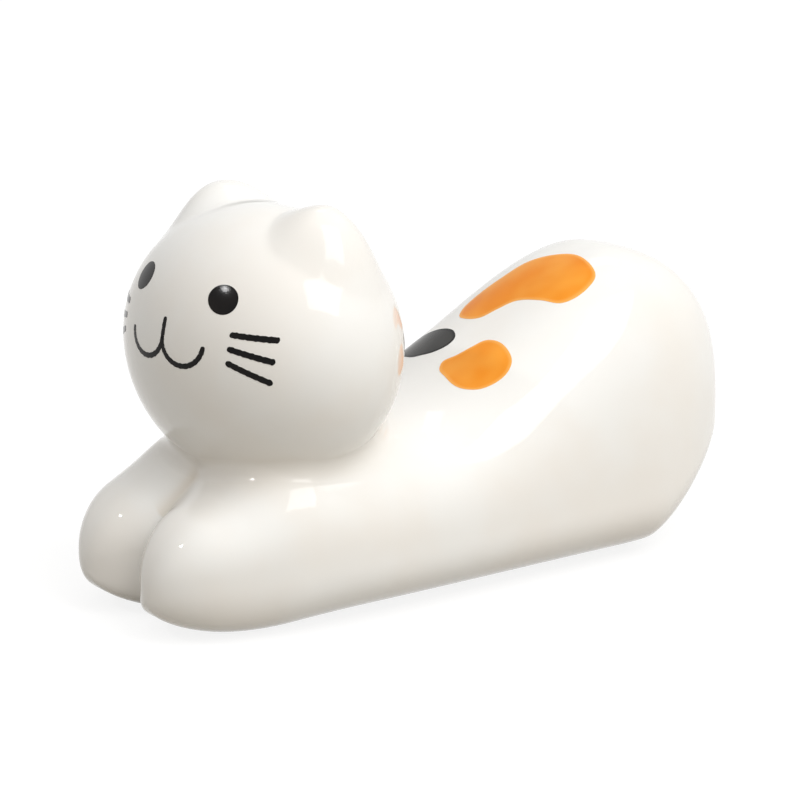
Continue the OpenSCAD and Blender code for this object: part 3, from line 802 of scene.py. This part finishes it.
# The object is lit from all round by ambient + the sum of strength * max(0, d . g)^2 over the glows,
# where d is the direction looked in and g a glow's own. The plain white backdrop is seen in its place
world = bpy.data.worlds.new("studioWorld")
bpy.context.scene.world = world
world.use_nodes = True
tree = world.node_tree
seen = tree.nodes["Background"]
seen.inputs["Color"].default_value = (1, 1, 1, 1)
looked = tree.nodes.new("ShaderNodeNewGeometry").outputs["Incoming"]
light = tree.nodes.new("ShaderNodeBackground")
light.inputs["Color"].default_value = linear(*studio["ambientTint"])


def worldMath(operation, a, b, c=0.0):
    node = tree.nodes.new("ShaderNodeMath")
    node.operation = operation
    for socket, value in zip(node.inputs, (a, b, c)):
        if isinstance(value, float):
            socket.default_value = value
        else:
            tree.links.new(value, socket)
    return node.outputs[0]


level = studio["ambient"]
for glow in glows.values():
    towards = tree.nodes.new("ShaderNodeVectorMath")
    towards.operation = "DOT_PRODUCT"
    tree.links.new(looked, towards.inputs[0])
    towards.inputs[1].default_value = -direction(glow["azimuth"], glow["elevation"])
    squared = worldMath("POWER", worldMath("MAXIMUM", towards.outputs["Value"], 0.0), 2.0)
    level = worldMath("MULTIPLY_ADD", squared, glow["strength"], level)
tree.links.new(level, light.inputs["Strength"])
both = tree.nodes.new("ShaderNodeMixShader")
seenOrNot(tree, both.inputs[0])
tree.links.new(light.outputs[0], both.inputs[1])
tree.links.new(seen.outputs[0], both.inputs[2])
tree.links.new(both.outputs[0], tree.nodes["World Output"].inputs["Surface"])

floorMat, tree, shader, add = newMaterial("studioFloor")
shader.inputs["Base Color"].default_value = (*studio["floorShade"], 1)
shader.inputs["Roughness"].default_value = 1.0
shader.inputs["Specular IOR Level"].default_value = 0.0
lit = add("ShaderNodeBsdfDiffuse", Color=(studio["floorLit"],) * 3 + (1,))
plain = add("ShaderNodeEmission", Strength=studio["floorWhite"])
shown = add("ShaderNodeAddShader", {0: lit.outputs[0], 1: plain.outputs[0]})
both = add("ShaderNodeMixShader", {1: shader.outputs[0], 2: shown.outputs[0]})
seenOrNot(tree, both.inputs[0])
tree.links.new(both.outputs[0], tree.nodes["Material Output"].inputs["Surface"])
size = studio["floorSize"] / 2
mesh = bpy.data.meshes.new("floor")
cornersAt = [(-size, -size, 0), (size, -size, 0), (size, size, 0), (-size, size, 0)]
mesh.from_pydata(cornersAt, [], [(0, 1, 2, 3)])
mesh.materials.append(floorMat)
floor = bpy.data.objects.new("floor", mesh)
bpy.context.scene.collection.objects.link(floor)

for name, p in lamps.items():
    lamp = bpy.data.lights.new(name, "AREA")
    lamp.shape = "RECTANGLE"
    lamp.size, lamp.size_y = p["width"], p["height"]
    lamp.energy = p["radiance"] * np.pi * p["width"] * p["height"]
    holder = bpy.data.objects.new(name, lamp)
    d = direction(p["azimuth"], p["elevation"])
    turned = d.to_track_quat("Z", "Y").to_matrix() @ Matrix.Rotation(radians(p["roll"]), 3, "Z")
    standAt = d * p["distance"] + Vector((0, 0, studio["lampAim"]))
    holder.matrix_world = Matrix.Translation(standAt) @ turned.to_4x4()
    bpy.context.scene.collection.objects.link(holder)

view = {
    "azimuth": -35.42, "elevation": 16.22, "distance": 0.37807, "roll": 0.19,
    "target": (-0.00013, 0.0, 0.015), "aside": (-0.001205, 0.001745),  # aims this far right and up of it
    "focal": 172.065, "sensor": 36.0, "nearest": 0.01,
}
back = direction(view["azimuth"], view["elevation"])
turned = back.to_track_quat("Z", "Y").to_matrix()
right, up = turned.col[0], turned.col[1]
standAt = Vector(view["target"]) + back * view["distance"]
aimAt = Vector(view["target"]) + right * view["aside"][0] + up * view["aside"][1]
turned = (standAt - aimAt).normalized().to_track_quat("Z", "Y").to_matrix()
turned = turned @ Matrix.Rotation(radians(view["roll"]), 3, "Z")
lens = bpy.data.cameras.new("camera")
lens.lens, lens.sensor_width, lens.clip_start = view["focal"], view["sensor"], view["nearest"]
camera = bpy.data.objects.new("camera", lens)
camera.matrix_world = Matrix.Translation(standAt) @ turned.to_4x4()
bpy.context.scene.collection.objects.link(camera)
bpy.context.scene.camera = camera
bpy.context.scene.view_settings.view_transform = "Standard"
print("studio ready")
